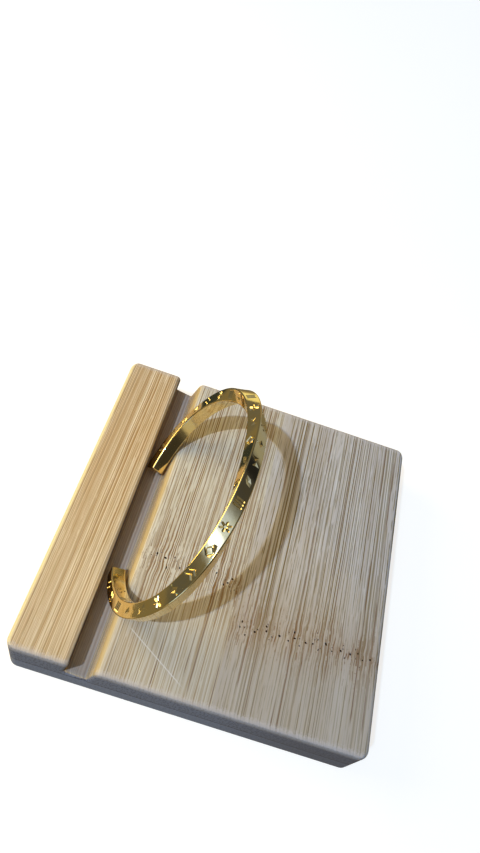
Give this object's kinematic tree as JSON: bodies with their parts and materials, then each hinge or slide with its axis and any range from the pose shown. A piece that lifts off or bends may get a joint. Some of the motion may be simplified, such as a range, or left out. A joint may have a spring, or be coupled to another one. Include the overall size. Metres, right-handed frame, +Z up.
{
  "type": "cuff bangle on display block",
  "caption": "Open cuff bangle bent from one twisted square bar, leaning in the slanted groove of a plain bamboo display block.",
  "frame": {"origin": "middle of the block's underside", "axes": "+X across the block from the narrow strip towards the wide plate, +Y along the groove, +Z up"},
  "size_m": [0.09, 0.0926, 0.0554],
  "materials": {
    "gold": "polished gold plate with small cut marks on its faces",
    "bamboo": "sanded bare bamboo, fine straight grain, satin"
  },
  "bodies": {
    "root": {"bangle": "gold", "display_block": "bamboo"}
  },
  "joints": []
}
